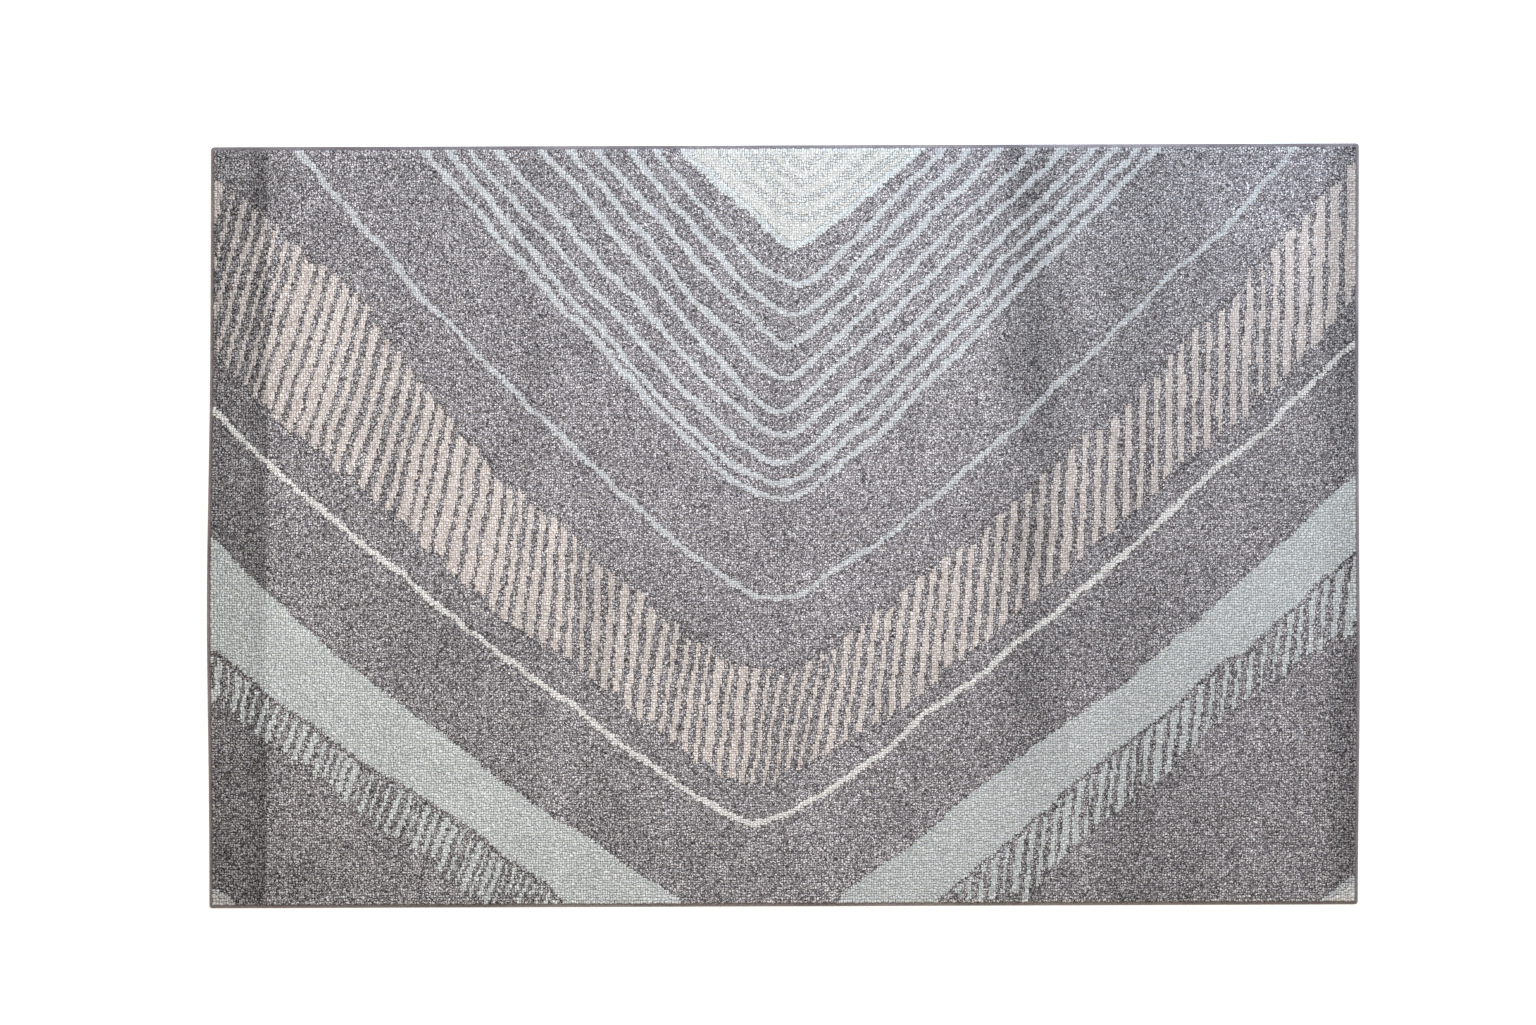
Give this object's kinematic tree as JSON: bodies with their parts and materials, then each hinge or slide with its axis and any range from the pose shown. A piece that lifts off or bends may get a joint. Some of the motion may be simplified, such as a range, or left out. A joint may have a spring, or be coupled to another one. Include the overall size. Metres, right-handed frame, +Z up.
{
  "type": "area rug",
  "caption": "Rectangular woven cut-pile area rug in heather grey with nested pale chevrons, a striped blush chevron band and overlocked edges.",
  "frame": {"origin": "on the floor, under the middle of the rug", "axes": "+X along the rug's length, +Y across it towards the edge that holds the chevrons' pale apex wedge, +Z up out of the pile"},
  "size_m": [1.81, 1.2, 0.012],
  "materials": {
    "heather_pile": "heathered grey-mauve cut pile, matt",
    "duck_egg_pile": "pale blue-green grey cut pile, matt",
    "ivory_pile": "ivory cut pile, matt",
    "blush_pile": "blush beige cut pile with heather stripes, matt",
    "binding_yarn": "overlocked mauve-grey yarn, slight sheen",
    "ground_weave": "plain woven jute and polyester ground",
    "latex_coating": "thin matt latex back coating"
  },
  "bodies": {
    "root": {"apex_faint_line_1": "duck_egg_pile", "apex_faint_line_2": "duck_egg_pile", "apex_faint_line_3": "duck_egg_pile", "apex_faint_line_4": "duck_egg_pile", "apex_ivory_field_1": "ivory_pile", "apex_ivory_field_2": "ivory_pile", "apex_ivory_field_3": "ivory_pile", "apex_ivory_field_4": "ivory_pile", "apex_ivory_field_5": "ivory_pile", "apex_outline_pile": "duck_egg_pile", "blush_striped_band": "blush_pile", "bottom_binding": "binding_yarn", "duck_egg_band_left": "duck_egg_pile", "duck_egg_band_right": "duck_egg_pile", "fine_line_1": "duck_egg_pile", "fine_line_2": "duck_egg_pile", "fine_line_3": "duck_egg_pile", "fine_line_4": "duck_egg_pile", "fine_line_5": "duck_egg_pile", "fine_line_6": "duck_egg_pile", "fine_line_7": "duck_egg_pile", "fine_line_8": "duck_egg_pile", "fine_line_9": "duck_egg_pile", "ground_weave": "ground_weave", "hatched_band_left": "duck_egg_pile", "hatched_band_right": "duck_egg_pile", "heather_corner_left": "heather_pile", "heather_corner_right": "heather_pile", "heather_field_lower": "heather_pile", "heather_field_middle": "heather_pile", "heather_field_upper": "heather_pile", "heather_strip_1": "heather_pile", "heather_strip_2": "heather_pile", "heather_strip_3": "heather_pile", "heather_strip_4": "heather_pile", "heather_strip_5": "heather_pile", "heather_strip_6": "heather_pile", "heather_strip_7": "heather_pile", "heather_strip_8": "heather_pile", "heather_strip_9": "heather_pile", "heather_strip_below_blush": "heather_pile", "ivory_line": "ivory_pile", "ivory_tip_left": "ivory_pile", "ivory_tip_right": "ivory_pile", "latex_coating": "latex_coating", "left_binding": "binding_yarn", "right_binding": "binding_yarn", "top_binding": "binding_yarn", "wide_line": "duck_egg_pile"}
  },
  "joints": []
}
